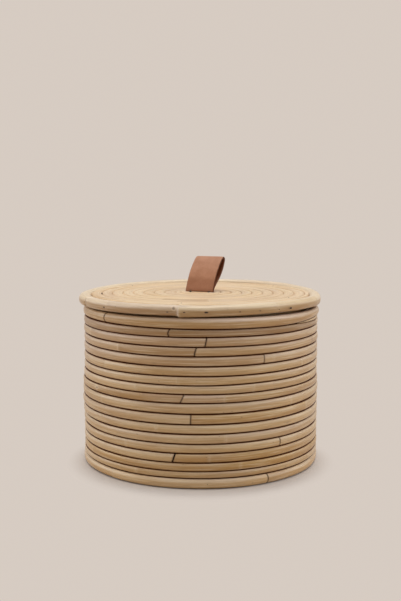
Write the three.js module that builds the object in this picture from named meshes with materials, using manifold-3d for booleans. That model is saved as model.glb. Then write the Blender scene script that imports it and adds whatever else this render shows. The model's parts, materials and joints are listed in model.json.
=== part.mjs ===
// A round lidded box of rattan canes with a leather pull.
// Lengths are in millimetres and +Z is up. The origin is the middle of the underside.
// +X runs along the width of the pull, and +Y is the side that the pull leans to.
// A bearing is an angle in degrees round the box, from the front at -Y towards +X.

import * as THREE from 'three';
import { mergeVertices } from 'three/addons/utils/BufferGeometryUtils.js';
import Module from 'manifold-3d';

const wasm = await Module();
wasm.setup();

// The wall is a stack of hoops, each bent from one cane and closed with a cut joint.
const WALL_RADIUS = 121.2;
const WALL_CANE = 9;
const MOUTH_CANE = 11;
const FOOT_CANE = 10.6;
const HOOP_PROUD = 0.7;
const HOOP_STEPS = 24;
const JOINT_GAP = 0.8;

// Canes that rest on each other, and canes that lie side by side in a coil.
const SEAT_GAP = 0.3;
const TURN_GAP = 0.5;

// The wall hoops from the foot up: the height of each as a share of WALL_CANE,
// then the bearing and the slant in degrees of its joint.
const WALL_HOOP_SHARES = [
  [0.72, 225, 12],
  [0.91, 104.6, 0],
  [0.99, 10.1, 17],
  [0.99, 60.4, 0],
  [1.03, 175, -15],
  [1.03, 303.7, 0],
  [1.09, 17.7, 0],
  [1.1, 245, 14],
  [0.94, 13.9, 25],
  [0.95, 150, 0],
  [0.92, 258, -12],
  [1.02, 200, 0],
  [1.05, 51.4, 0],
  [0.98, 19.8, 16],
  [0.96, 24.2, 13],
  [0.87, 8.4, 0],
];
const FOOT_JOINT_BEARING = 53.2;
const MOUTH_JOINT_BEARING = 333.2;

// Pins hold each hoop on the one below.
const PIN_WIDTH = 1.6;
const PIN_REACH = 2.5;
const PIN_PLAY = 0.3;
const PINS_IN_HOOP = 3;
const PIN_FIRST_BEARING = 70;
const PIN_STAGGER_ANGLE = 55;

// The floor is a flat coil inside the foot hoop.
const FLOOR_LIFT = 1;
const FLOOR_EYE = 4;
const FLOOR_STEPS = 18;

// The lid is a flat coil round an eye, inside a thick rim that is bent from two canes.
// The rim stands a little proud of the wall all round.
const LID_OVERHANG = 3.1;
const RIM_CANE = 12.6;
const SHORT_RIM_CANE = 12;
const RIM_STEPS = 48;
const RIM_JOINT_BEARINGS = [315.5, 12];
const LID_SINK = 1.8;
const COIL_PITCH = 10.84;
const COIL_TIP = 1.6;
const COIL_STEPS = 24;
const COIL_START_BEARING = 112;
const EYE_CORE_RADIUS = 9.56;

// A hoop under the lid drops inside the mouth and keeps the lid in place.
const LOCATOR_CANE = 9;
const LOCATOR_PLAY = 4.7;
const LOCATOR_JOINT_BEARING = 95;

// Brads are short square wire nails.
const BRAD_WIDTH = 1.4;
const BRAD_LENGTH = 18;
const LID_BRAD_LENGTH = 14;
const BRAD_SINK = 0.3;
const RIM_BRAD_DROP = 1.3;
const RIM_BRAD_BEARINGS = [15.2, 24.4, 38.8, 48.1, 58, 65, 120, 180, 240, 290, 334.8, 8];
const LID_BRAD_BEARINGS = [11.9, 80, 150, 205, 250, 298.3];
const FLOOR_BRAD_BEARINGS = [25, 115, 205, 295];

// The pull is a leather band, folded to a loop. Its tails go down through the eye of
// the lid, fold outwards below it and are tacked to it.
const PULL_WIDTH = 29.6;
const PULL_THICK = 2;
const PULL_LEAN = 32;
const PULL_RISE = 32.4;
const PULL_PLAY = 0.3;
const TAIL_LENGTH = 17;
const TACK_HEAD = 5;
const TACK_HEAD_THICK = 0.8;
const TACK_LENGTH = 7;

// The middle line of the loop from its front foot to its back foot, seen along the
// width: shares of PULL_LEAN and PULL_RISE.
const PULL_LINE_SHARES = [
  [0.03, 0.11],
  [0.1, 0.26],
  [0.28, 0.54],
  [0.55, 0.81],
  [0.76, 0.96],
  [0.89, 1],
  [0.99, 0.95],
  [0.97, 0.86],
  [0.84, 0.62],
  [0.58, 0.38],
  [0.3, 0.21],
  [0.14, 0.1],
];

const caneWall = finish(0xc9a67c, 0.62);
const caneFoot = finish(0xc29c70, 0.64);
const caneLid = finish(0xdcbf94, 0.6);
const caneRim = finish(0xd3b184, 0.58);
const caneInside = finish(0xb98f60, 0.68);
const leather = finish(0xa5704f, 0.66);
const steel = finish(0x6b655c, 0.45, 0.8);

const box = new THREE.Group();

function finish(color, roughness, metalness = 0) {
  return new THREE.MeshStandardMaterial({ color, roughness, metalness });
}

const FULL_TURN = 360;

function radians(angle) {
  return THREE.MathUtils.degToRad(angle);
}

// The radius of the largest circle inside a ring of straight steps.
function inscribed(radius, steps) {
  return radius * Math.cos(Math.PI / steps);
}

// Turns a geometry into a solid that can be cut and joined.
function solid(geometry) {
  geometry.deleteAttribute('normal');
  geometry.deleteAttribute('uv');
  const merged = mergeVertices(geometry);
  const corners = merged.index.array;
  const triVerts = [];
  for (let at = 0; at < corners.length; at += 3) {
    const [a, b, c] = corners.slice(at, at + 3);
    if (a !== b && b !== c && c !== a) triVerts.push(a, b, c);
  }
  return new wasm.Manifold(new wasm.Mesh({
    numProp: 3,
    vertProperties: new Float32Array(merged.attributes.position.array),
    triVerts: new Uint32Array(triVerts),
  }));
}

// Puts a solid into the box as a named piece at a height.
function add(name, body, material, height = 0) {
  const { vertProperties, triVerts } = body.getMesh();
  const geometry = new THREE.BufferGeometry();
  geometry.setAttribute('position', new THREE.BufferAttribute(vertProperties, 3));
  geometry.setIndex(new THREE.BufferAttribute(triVerts, 1));
  geometry.computeVertexNormals();
  const mesh = new THREE.Mesh(geometry, material);
  mesh.name = name;
  mesh.position.z = height;
  box.add(mesh);
}

function cutAll(body, cutters) {
  return cutters.reduce((left, cutter) => left.subtract(cutter), body);
}

// The section of a bent cane: eight sides, with flats above, below, inside and outside.
function caneSection(radius, cane) {
  const sides = 8;
  const reach = cane / 2 / Math.cos(Math.PI / sides);
  const points = [];
  for (let side = 0; side <= sides; side += 1) {
    const angle = (Math.PI * (2 * side + 1)) / sides;
    points.push(new THREE.Vector2(radius + reach * Math.cos(angle), reach * Math.sin(angle)));
  }
  return points;
}

// A whole ring of a section, with its middle plane at height 0.
function ring(section, steps, start = 0) {
  const geometry = new THREE.LatheGeometry(section, steps, radians(start), 2 * Math.PI);
  return solid(geometry.rotateX(Math.PI / 2));
}

// A block at a radius, a height and a bearing, leaning along the ring by its slant.
function block(along, inward, tall, radius, height, bearing, slant = 0) {
  const geometry = new THREE.BoxGeometry(along, inward, tall);
  geometry.rotateY(radians(slant));
  geometry.translate(0, -radius, height);
  return solid(geometry.rotateZ(radians(bearing)));
}

function pinBearings(course) {
  const bearings = [];
  for (let pin = 0; pin < PINS_IN_HOOP; pin += 1) {
    bearings.push(PIN_FIRST_BEARING + course * PIN_STAGGER_ANGLE + (FULL_TURN / PINS_IN_HOOP) * pin);
  }
  return bearings;
}

// The courses of the wall from the foot to the mouth, each with its place in the stack.
function stackCourses() {
  const proud = WALL_RADIUS + HOOP_PROUD;
  const courses = [{ name: 'foot_hoop', outer: proud, tall: FOOT_CANE, joint: FOOT_JOINT_BEARING, slant: 0 }];
  WALL_HOOP_SHARES.forEach(([share, joint, slant], at) => {
    const name = `wall_hoop_${String(at + 1).padStart(2, '0')}`;
    courses.push({ name, outer: WALL_RADIUS, tall: share * WALL_CANE, joint, slant });
  });
  courses.push({ name: 'mouth_hoop', outer: proud, tall: MOUTH_CANE, joint: MOUTH_JOINT_BEARING, slant: 0 });
  let bottom = 0;
  for (const course of courses) {
    course.cane = course.tall - SEAT_GAP;
    course.middle = bottom + course.cane / 2;
    course.radius = course.outer - course.cane / 2;
    bottom += course.tall;
  }
  return courses;
}

const courses = stackCourses();
const foot = courses[0];
const mouth = courses[courses.length - 1];
const wallTop = mouth.middle + mouth.cane / 2;

// A hoop with its cut joint, its own pins below and the holes for the pins from above.
function makeHoop(course, at) {
  const { radius, cane, joint, slant } = course;
  let body = ring(caneSection(radius, cane), HOOP_STEPS);
  body = body.subtract(block(JOINT_GAP, 2 * cane, 2 * cane, radius, 0, joint, slant));
  const above = courses[at + 1];
  if (above) {
    const width = PIN_WIDTH + 2 * PIN_PLAY;
    const deep = PIN_REACH + PIN_PLAY;
    for (const bearing of pinBearings(at + 1)) {
      body = body.subtract(block(width, width, 2 * deep, above.radius, cane / 2, bearing));
    }
  }
  if (at > 0) {
    for (const bearing of pinBearings(at)) {
      const tall = 2 * (PIN_REACH + SEAT_GAP);
      body = body.add(block(PIN_WIDTH, PIN_WIDTH, tall, radius, -cane / 2, bearing));
    }
  }
  return body;
}

// The points round the six-sided section of a coil at one step. The coil grows as its
// bearing falls. Its first turn swells from nothing against the eye, and its last
// one narrows to nothing against the border, so both of its edges are round.
function coilSection({ eye, border, pitch, tall, steps }, step) {
  const turns = step / steps;
  const inner = Math.max(eye, eye + pitch * (turns - 1) + TURN_GAP);
  const outer = Math.min(border, eye + pitch * turns);
  const bevel = (outer - inner) / 4;
  const bearing = radians(COIL_START_BEARING - FULL_TURN * turns);
  const section = [
    [outer, 0],
    [outer - bevel, tall / 2],
    [inner + bevel, tall / 2],
    [inner, 0],
    [inner + bevel, -tall / 2],
    [outer - bevel, -tall / 2],
  ];
  return section.map(([r, z]) => new THREE.Vector3(r * Math.sin(bearing), -r * Math.cos(bearing), z));
}

// The least distance between the points of a coil that are a turn apart.
function leastGap(sections, steps) {
  let least = Infinity;
  sections.forEach((section, at) => {
    const outside = sections.slice(at + steps - 1, at + steps + 2).flat();
    for (const point of section) {
      for (const other of outside) least = Math.min(least, point.distanceTo(other));
    }
  });
  return least;
}

// A flat coil of cane as one unbroken tube from its inner tip to its outer tip.
function coil(name, shape) {
  const { eye, border, pitch, steps } = shape;
  const first = Math.ceil((COIL_TIP / pitch) * steps);
  const last = Math.floor(((border - COIL_TIP - TURN_GAP - eye) / pitch + 1) * steps);
  const sections = [];
  for (let step = first; step <= last; step += 1) sections.push(coilSection(shape, step));
  console.log(`${name}: least gap to itself ${leastGap(sections, steps).toFixed(2)} mm`);
  const sides = sections[0].length;
  const index = [];
  for (let at = 0; at + 1 < sections.length; at += 1) {
    for (let side = 0; side < sides; side += 1) {
      const here = at * sides + side;
      const next = at * sides + ((side + 1) % sides);
      index.push(here, next, here + sides, next, next + sides, here + sides);
    }
  }
  const end = (sections.length - 1) * sides;
  for (let side = 1; side + 1 < sides; side += 1) {
    index.push(0, side + 1, side, end, end + side, end + side + 1);
  }
  const geometry = new THREE.BufferGeometry().setFromPoints(sections.flat());
  geometry.setIndex(index);
  return solid(geometry);
}

// The height of a coil's cane, whose six sides are equal where it is full.
function coilTall() {
  return (COIL_PITCH - TURN_GAP) * (Math.sqrt(3) / 2);
}

function bradShape(length) {
  return new THREE.BoxGeometry(BRAD_WIDTH, length, BRAD_WIDTH);
}

// The clearance hole of a brad that points at the axis from an outer radius.
function radialHole(outer, height, bearing) {
  const width = BRAD_WIDTH + 2 * PIN_PLAY;
  const length = BRAD_LENGTH + BRAD_SINK + PIN_PLAY;
  return block(width, 2 * length, width, outer, height, bearing);
}

// Brads that point at the axis, with their heads just inside an outer radius.
function addRadialBrads(name, bearings, outer, height) {
  bearings.forEach((bearing, at) => {
    const geometry = bradShape(BRAD_LENGTH);
    geometry.translate(0, BRAD_LENGTH / 2 + BRAD_SINK - outer, 0);
    add(`${name}_${at + 1}`, solid(geometry.rotateZ(radians(bearing))), steel, height);
  });
}

// The hoops of the wall and the floor coil that the foot hoop holds.
function makeBasket() {
  const footFace = inscribed(foot.outer, HOOP_STEPS);
  const floorMiddle = FLOOR_LIFT + coilTall() / 2;
  const footHoles = FLOOR_BRAD_BEARINGS.map((bearing) => radialHole(footFace, floorMiddle, bearing));
  const inside = inscribed(foot.outer - foot.cane, HOOP_STEPS) - SEAT_GAP;
  courses.forEach((course, at) => {
    let body = makeHoop(course, at);
    if (course === foot) {
      body = cutAll(body, footHoles.map((hole) => hole.translate([0, 0, -foot.middle])));
    }
    add(course.name, body, course === foot ? caneFoot : caneWall, course.middle);
  });
  const shape = { eye: FLOOR_EYE, border: inside, pitch: COIL_PITCH, tall: coilTall(), steps: FLOOR_STEPS };
  const floor = coil('floor_coil', shape);
  const holes = footHoles.map((hole) => hole.translate([0, 0, -floorMiddle]));
  add('floor_coil', cutAll(floor, holes), caneInside, floorMiddle);
  addRadialBrads('floor_brad', FLOOR_BRAD_BEARINGS, footFace, floorMiddle);
}

const lidRadius = mouth.outer + LID_OVERHANG;
const rimBottom = wallTop + SEAT_GAP;
const coilTop = rimBottom + RIM_CANE - LID_SINK;
const coilMiddle = coilTop - coilTall() / 2;
const coilBottom = coilTop - coilTall();
const locatorTop = coilBottom - SEAT_GAP;
const locatorRadius = mouth.outer - mouth.cane - LOCATOR_PLAY - LOCATOR_CANE / 2;
const eyeInner = EYE_CORE_RADIUS + TURN_GAP;
const eyeRadius = eyeInner + COIL_PITCH;
const eyeOuter = eyeRadius - TURN_GAP;
const tailOuter = PULL_PLAY / 2 + PULL_THICK;
const slotHalf = tailOuter + PULL_PLAY;

// Everything between two bearings, out past the lid.
function sector(from, to) {
  const reach = 2 * lidRadius;
  const turn = (to - from + FULL_TURN) % FULL_TURN;
  const widestBend = 30;
  const bends = Math.ceil(turn / widestBend);
  const outline = new THREE.Shape().moveTo(0, 0);
  for (let bend = 0; bend <= bends; bend += 1) {
    const bearing = radians(from + (turn * bend) / bends);
    outline.lineTo(reach * Math.sin(bearing), -reach * Math.cos(bearing));
  }
  const geometry = new THREE.ExtrudeGeometry(outline, { depth: 2 * RIM_CANE, bevelEnabled: false });
  return solid(geometry.translate(0, 0, -RIM_CANE));
}

// The rim's two canes, which meet at two cut joints.
function makeRim() {
  const half = THREE.MathUtils.radToDeg(JOINT_GAP / 2 / lidRadius);
  const [from, to] = RIM_JOINT_BEARINGS;
  const radius = lidRadius - RIM_CANE / 2;
  const bradHeight = rimBottom + RIM_CANE / 2 - RIM_BRAD_DROP;
  const face = inscribed(lidRadius, RIM_STEPS) - (RIM_CANE - SHORT_RIM_CANE) / 2;
  const holes = RIM_BRAD_BEARINGS.map((bearing) => radialHole(face, bradHeight, bearing));
  const long = ring(caneSection(radius, RIM_CANE), RIM_STEPS, COIL_START_BEARING)
    .subtract(sector(from - half, to + half))
    .translate([0, 0, rimBottom + RIM_CANE / 2]);
  const short = ring(caneSection(radius, SHORT_RIM_CANE), RIM_STEPS, COIL_START_BEARING)
    .intersect(sector(from + half, to - half))
    .translate([0, 0, rimBottom + SHORT_RIM_CANE / 2]);
  add('lid_rim_long', cutAll(long, holes), caneRim);
  add('lid_rim_short', cutAll(short, holes), caneRim);
  addRadialBrads('rim_brad', RIM_BRAD_BEARINGS, face, bradHeight);
  return holes;
}

// The coil of the lid, the hoop under it, and the brads that join the two.
function makeLidCoil(rimHoles) {
  const border = lidRadius - RIM_CANE - TURN_GAP;
  const shape = { eye: eyeRadius, border, pitch: COIL_PITCH, tall: coilTall(), steps: COIL_STEPS };
  const lidCoil = coil('lid_coil', shape).translate([0, 0, coilMiddle]);
  const width = BRAD_WIDTH + 2 * PIN_PLAY;
  const deep = LID_BRAD_LENGTH + BRAD_SINK + PIN_PLAY;
  const holes = LID_BRAD_BEARINGS.map((bearing) => block(width, width, 2 * deep, locatorRadius, coilTop, bearing));
  add('lid_coil', cutAll(lidCoil, [...rimHoles, ...holes]), caneLid);
  const locator = ring(caneSection(locatorRadius, LOCATOR_CANE), HOOP_STEPS)
    .subtract(block(JOINT_GAP, 2 * LOCATOR_CANE, 2 * LOCATOR_CANE, locatorRadius, 0, LOCATOR_JOINT_BEARING))
    .translate([0, 0, locatorTop - LOCATOR_CANE / 2]);
  add('locating_hoop', cutAll(locator, holes), caneInside);
  LID_BRAD_BEARINGS.forEach((bearing, at) => {
    const geometry = bradShape(LID_BRAD_LENGTH).rotateX(Math.PI / 2);
    geometry.translate(0, -locatorRadius, coilTop - BRAD_SINK - LID_BRAD_LENGTH / 2);
    add(`lid_brad_${at + 1}`, solid(geometry.rotateZ(radians(bearing))), steel);
  });
}

// The places of the four tacks, under the cane that rings the eye.
function tackPlaces() {
  const side = (eyeInner + eyeOuter) / 4;
  const out = Math.sqrt(((eyeInner + eyeOuter) / 2) ** 2 - side ** 2);
  return [[-side, -out], [side, -out], [-side, out], [side, out]];
}

// The eye of the lid: a ring of cane and the two halves of its core, which leave a
// slot for the tails of the pull.
function makeEye() {
  const half = coilTall() / 2;
  const bevel = (eyeOuter - eyeInner) / 4;
  const band = [
    [eyeOuter, 0],
    [eyeOuter - bevel, half],
    [eyeInner + bevel, half],
    [eyeInner, 0],
    [eyeInner + bevel, -half],
    [eyeOuter - bevel, -half],
    [eyeOuter, 0],
  ];
  const button = [
    [0, -half],
    [EYE_CORE_RADIUS - bevel, -half],
    [EYE_CORE_RADIUS, 0],
    [EYE_CORE_RADIUS - bevel, half],
    [0, half],
  ];
  const points = (rows) => rows.map(([r, z]) => new THREE.Vector2(r, z));
  const slot = block(PULL_WIDTH + 2 * PULL_PLAY, 2 * slotHalf, 2 * RIM_CANE, 0, 0, 0);
  const tackHoles = tackPlaces().map(([x, y]) => tackHole().translate([x, y, -half]));
  const eyeRing = ring(points(band), COIL_STEPS, COIL_START_BEARING);
  add('eye_ring', cutAll(eyeRing, [slot, ...tackHoles]), caneLid, coilMiddle);
  const reach = 2 * eyeOuter;
  const core = ring(points(button), COIL_STEPS, COIL_START_BEARING);
  const front = core.subtract(block(reach, reach, reach, slotHalf - reach / 2, 0, 0));
  const back = core.subtract(block(reach, reach, reach, slotHalf - reach / 2, 0, 180));
  add('eye_core_front', front, caneLid, coilMiddle);
  add('eye_core_back', back, caneLid, coilMiddle);
}

function tackHole() {
  const width = BRAD_WIDTH + 2 * PIN_PLAY;
  const reach = 2 * (TACK_LENGTH + PIN_PLAY);
  return block(width, width, reach, 0, 0, 0);
}

// A tail hangs in the slot, folds outwards below the lid and lies under the eye.
function makeTails() {
  const top = coilTop;
  const upper = coilBottom - PULL_PLAY;
  const outline = new THREE.Shape();
  outline.moveTo(PULL_PLAY / 2, top);
  outline.lineTo(PULL_PLAY / 2, upper);
  outline.absarc(PULL_PLAY / 2 + PULL_THICK, upper, PULL_THICK, Math.PI, 1.5 * Math.PI);
  outline.lineTo(TAIL_LENGTH, upper - PULL_THICK);
  outline.lineTo(TAIL_LENGTH, upper);
  outline.lineTo(tailOuter, upper);
  outline.lineTo(tailOuter, top);
  outline.closePath();
  const holes = tackPlaces().map(([x, y]) => tackHole().translate([x, y, upper]));
  const options = { depth: PULL_WIDTH, curveSegments: 4, bevelEnabled: false };
  for (const [name, turn] of [['strap_tail_back', 0], ['strap_tail_front', Math.PI]]) {
    const geometry = new THREE.ExtrudeGeometry(outline, options);
    geometry.translate(0, 0, -PULL_WIDTH / 2);
    geometry.rotateX(Math.PI / 2).rotateZ(Math.PI / 2).rotateZ(turn);
    add(name, cutAll(solid(geometry), holes), leather);
  }
  const under = upper - PULL_THICK - PULL_PLAY;
  tackPlaces().forEach(([x, y], at) => {
    const tack = makeTack().translate([x, y, under]);
    add(`strap_tack_${at + 1}`, tack, steel);
  });
}

// A tack stands on its head, with its top face at height 0.
function makeTack() {
  const profile = [
    [0, -TACK_HEAD_THICK],
    [TACK_HEAD / 2, -TACK_HEAD_THICK],
    [TACK_HEAD / 2, 0],
    [BRAD_WIDTH / 2, 0],
    [BRAD_WIDTH / 2, TACK_LENGTH],
    [0, TACK_LENGTH],
  ];
  const sides = 8;
  return ring(profile.map(([r, z]) => new THREE.Vector2(r, z)), sides);
}

// A solid extruded along the width of the pull from an outline in lean and rise.
function acrossPull(outline, height) {
  const options = { depth: PULL_WIDTH, curveSegments: 6, bevelEnabled: false };
  const geometry = new THREE.ExtrudeGeometry(outline, options);
  geometry.translate(0, height, -PULL_WIDTH / 2);
  return solid(geometry.rotateX(Math.PI / 2).rotateZ(Math.PI / 2));
}

// The loop of the pull. Its middle line opens like a drop of water, and its two
// sheets meet in a round foot that stands just above the tails.
function makePull() {
  const half = PULL_THICK / 2;
  const footHalf = tailOuter - half;
  const line = PULL_LINE_SHARES.map(([y, z]) => new THREE.Vector2(y * PULL_LEAN, z * PULL_RISE));
  const curve = new THREE.SplineCurve([
    new THREE.Vector2(-footHalf, 0),
    ...line,
    new THREE.Vector2(footHalf, 0),
  ]);
  const samples = 40;
  const footShare = 0.04;
  const outside = [];
  const hollow = [];
  for (let sample = 0; sample <= samples; sample += 1) {
    const share = sample / samples;
    const point = curve.getPointAt(share);
    const along = curve.getTangentAt(share);
    const out = new THREE.Vector2(-along.y, along.x).multiplyScalar(half);
    outside.push(point.clone().add(out));
    if (share > footShare && share < 1 - footShare) hollow.push(point.clone().sub(out));
  }
  const height = coilTop + tailOuter + PULL_PLAY;
  const foot = new THREE.Shape().absarc(0, 0, tailOuter, 0, 2 * Math.PI);
  const band = acrossPull(new THREE.Shape(outside), height)
    .subtract(acrossPull(new THREE.Shape(hollow), height))
    .add(acrossPull(foot, height));
  add('pull_loop', band, leather);
}

makeBasket();
makeLidCoil(makeRim());
makeEye();
makeTails();
makePull();

export default box;
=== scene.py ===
# %% [markdown]
# # A round lidded box of rattan canes
#
# The wall of this box is a stack of hoops, each bent from one cane. The lid is a cane
# wound flat inside a thick rim, and a leather strap is its pull. Everything is in
# metres, with +Z up, and the origin is the middle of the underside. A bearing is an
# angle round the box, from the front at -Y towards +X. The tables give bearings in
# degrees, and functions take them in radians where their texts say so.
#
# The frame holds the plain solids at their true size, so this script takes its
# heights and radii from them and only makes the finer surface.

import json
import math
import random

import bmesh
import bpy
import numpy as np
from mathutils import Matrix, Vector


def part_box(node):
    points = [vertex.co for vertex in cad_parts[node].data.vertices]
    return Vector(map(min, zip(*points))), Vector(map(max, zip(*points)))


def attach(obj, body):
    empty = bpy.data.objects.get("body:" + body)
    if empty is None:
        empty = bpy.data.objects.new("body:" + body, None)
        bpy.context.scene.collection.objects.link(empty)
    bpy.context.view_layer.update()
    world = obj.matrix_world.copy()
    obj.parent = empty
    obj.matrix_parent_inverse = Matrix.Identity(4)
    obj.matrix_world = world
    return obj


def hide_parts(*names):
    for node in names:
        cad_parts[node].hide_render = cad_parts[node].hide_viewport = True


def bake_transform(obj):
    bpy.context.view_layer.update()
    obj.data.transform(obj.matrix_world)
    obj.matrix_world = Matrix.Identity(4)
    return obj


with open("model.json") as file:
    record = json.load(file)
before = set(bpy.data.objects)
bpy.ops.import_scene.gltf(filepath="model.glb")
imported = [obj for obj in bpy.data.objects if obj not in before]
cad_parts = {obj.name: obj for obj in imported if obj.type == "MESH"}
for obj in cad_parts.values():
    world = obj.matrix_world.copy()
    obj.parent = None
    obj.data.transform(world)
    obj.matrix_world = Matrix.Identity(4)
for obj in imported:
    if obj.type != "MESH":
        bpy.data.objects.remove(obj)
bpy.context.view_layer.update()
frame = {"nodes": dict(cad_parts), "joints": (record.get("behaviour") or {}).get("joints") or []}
print("frame nodes:", len(frame["nodes"]))

# %% [markdown]
# ## The camera
#
# The box is seen from a little above and from 22 degrees towards its right side. A
# long lens and a small tilt keep the wall almost upright. The place was worked out
# from the rim's ellipse and from the spacing of the hoops, so only these few sizes
# are needed, and the camera is turned by plain angles.

# %% The camera
CAMERA_BEARING = 22
CAMERA_DISTANCE = 0.93475
CAMERA_HEIGHT = 0.27
CAMERA_TILT = 6.511
LENS = 54.07
SENSOR = 36


def spot(bearing, radius, height):
    """The point at a bearing in radians, a radius and a height."""
    return Vector((radius * math.sin(bearing), -radius * math.cos(bearing), height))


camera_data = bpy.data.cameras.new("camera")
camera_data.sensor_fit = "VERTICAL"
camera_data.sensor_height = SENSOR
camera_data.lens = LENS
camera = bpy.data.objects.new("camera", camera_data)
camera.location = spot(math.radians(CAMERA_BEARING), CAMERA_DISTANCE, CAMERA_HEIGHT)
camera.rotation_euler = (math.radians(90 - CAMERA_TILT), 0, math.radians(CAMERA_BEARING))
bpy.context.scene.collection.objects.link(camera)
bpy.context.scene.camera = camera
bpy.context.scene.view_settings.view_transform = "Standard"
print("camera at", [round(value, 3) for value in camera.location])

# %% [markdown]
# ## Shader maths as expressions
#
# A finish is easier to read as a formula than as a web of nodes. A Signal wraps an
# output socket, and its operators add Math nodes, so `1 - mask * 0.5` works on it. A
# Recipe is one node tree. Its method add makes any other kind of node, and the rest of
# its methods are short ways to call that one.

# %% Signals and recipes
COLOR_MIX = {"data_type": "RGBA"}
MIX_FACTOR, MIX_FIRST, MIX_SECOND, MIX_RESULT = 0, 6, 7, 2


class Signal:
    """An output socket, with arithmetic."""

    def __init__(self, recipe, socket):
        self.recipe = recipe
        self.socket = socket

    def math(self, operation, *values):
        return self.recipe.add("ShaderNodeMath", {"operation": operation}, dict(enumerate(values)))

    def __add__(self, other):
        return self.math("ADD", self, other)

    def __sub__(self, other):
        return self.math("SUBTRACT", self, other)

    def __rsub__(self, other):
        return self.math("SUBTRACT", other, self)

    def __mul__(self, other):
        return self.math("MULTIPLY", self, other)

    def __pow__(self, other):
        return self.math("POWER", self, other)

    __radd__ = __add__
    __rmul__ = __mul__


class Recipe:
    """The node tree of one finish."""

    def __init__(self, owner):
        owner.use_nodes = True
        self.tree = owner.node_tree
        self.tree.nodes.clear()

    def add(self, kind, settings=None, inputs=None, output=0):
        node = self.tree.nodes.new(kind)
        for name, value in (settings or {}).items():
            setattr(node, name, value)
        for name, value in (inputs or {}).items():
            if isinstance(value, Signal):
                self.tree.links.new(value.socket, node.inputs[name])
            else:
                node.inputs[name].default_value = value
        return Signal(self, node.outputs[output] if node.outputs else None)

    def mix(self, factor, first, second, blend="MIX"):
        inputs = {MIX_FACTOR: factor, MIX_FIRST: first, MIX_SECOND: second}
        return self.add("ShaderNodeMix", COLOR_MIX | {"blend_type": blend}, inputs, MIX_RESULT)

    def fade(self, value, start, end):
        """0 at the start and 1 at the end, with a soft step between them."""
        inputs = {"Value": value, "From Min": start, "From Max": end}
        return self.add("ShaderNodeMapRange", {"interpolation_type": "SMOOTHSTEP"}, inputs)

    def tint(self, color, value, tint, strength=1):
        """Lays a tint over a colour where a value passes from the start to the end of its fade."""
        start, end, share, over = tint
        return self.mix(self.fade(value, start, end) * (share * strength), color, over)

    def scaled(self, vector, scales):
        inputs = {0: vector, 1: scales}
        return self.add("ShaderNodeVectorMath", {"operation": "MULTIPLY"}, inputs)

    def noise(self, vector, detail=2, roughness=0.5):
        """Noise from 0 to 1 with its middle at one half."""
        inputs = {"Vector": vector, "Scale": 1, "Detail": detail, "Roughness": roughness}
        return self.add("ShaderNodeTexNoise", {}, inputs)

    def attribute(self, name, output="Fac"):
        return self.add("ShaderNodeAttribute", {"attribute_name": name}, {}, output)


def srgb(red, green, blue):
    """A colour as it is read off a screen, from 0 to 255, as shader light."""
    channels = [value / 255 for value in (red, green, blue)]
    return (*[c / 12.92 if c <= 0.04045 else ((c + 0.055) / 1.055) ** 2.4 for c in channels], 1)


print("shader maths ready")

# %% [markdown]
# ## The light
#
# Suns with a wide disc give soft, even studio light whose strength doesn't change
# with distance, so the lid, the wall and the floor keep one balance of tones. One
# sun is overhead and a weak one lights the front from its right. Two more stand low
# at the sides, which leaves the front of the wall a little darker than its flanks.

# %% Suns and surroundings
AMBIENT = 0.22
BACKDROP = srgb(214.5, 203.5, 194)
WARM_WHITE = (1, 0.985, 0.965)
SUNS = [
    # name, bearing, elevation, strength, width of the disc in degrees
    ("overhead", 202, 82, 1.62, 45),
    ("front", 62, 38, 0.4, 40),
    ("left", -68, 12, 1.4, 50),
    ("right", 112, 12, 1.06, 50),
]

for name, bearing, elevation, strength, width in SUNS:
    light = bpy.data.lights.new(name, "SUN")
    light.energy = strength
    light.angle = math.radians(width)
    light.color = WARM_WHITE
    sun = bpy.data.objects.new(name, light)
    sun.rotation_euler = (math.radians(90 - elevation), 0, math.radians(bearing))
    bpy.context.scene.collection.objects.link(sun)


def seen_directly(recipe):
    """1 for the view, and for what mirrors and glass show, and 0 for the light."""
    rays = [recipe.add("ShaderNodeLightPath", {}, {}, f"Is {kind} Ray")
            for kind in ("Camera", "Glossy", "Transmission")]
    total = rays[0] + rays[1] + rays[2]
    return total.math("MINIMUM", total, 1)


world = bpy.data.worlds.new("studio")
bpy.context.scene.world = world
sky = Recipe(world)
ambient = (*[AMBIENT * channel for channel in WARM_WHITE], 1)
sky_color = sky.mix(seen_directly(sky), ambient, BACKDROP)
sky_light = sky.add("ShaderNodeBackground", {}, {"Color": sky_color, "Strength": 1})
sky.add("ShaderNodeOutputWorld", {}, {"Surface": sky_light})
print("suns:", len(SUNS))

# %% [markdown]
# ## The floor
#
# A wide pale disc. Close to the box it is lit, so it holds the shadow, and farther
# out it fades to the plain colour of the backdrop, which hides the horizon. What it
# throws back on the box is a darker and warmer colour than what the camera sees,
# because a white bounce from below would wash out the undersides of the canes.

# %% The floor
FLOOR_RADIUS = 30
FLOOR_SIDES = 96
SHADOW_MIDDLE = (0.006, -0.015, 0)
SHADOW_EDGE = 0.112
SHADOW_END = 0.140
FLOOR_LIT = srgb(219, 212, 207)
FLOOR_BOUNCE = srgb(192, 180, 166)

disc = bmesh.new()
bmesh.ops.create_circle(disc, cap_ends=True, segments=FLOOR_SIDES, radius=FLOOR_RADIUS)
floor_mesh = bpy.data.meshes.new("floor")
disc.to_mesh(floor_mesh)
disc.free()
floor = bpy.data.objects.new("floor", floor_mesh)
bpy.context.scene.collection.objects.link(floor)

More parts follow.
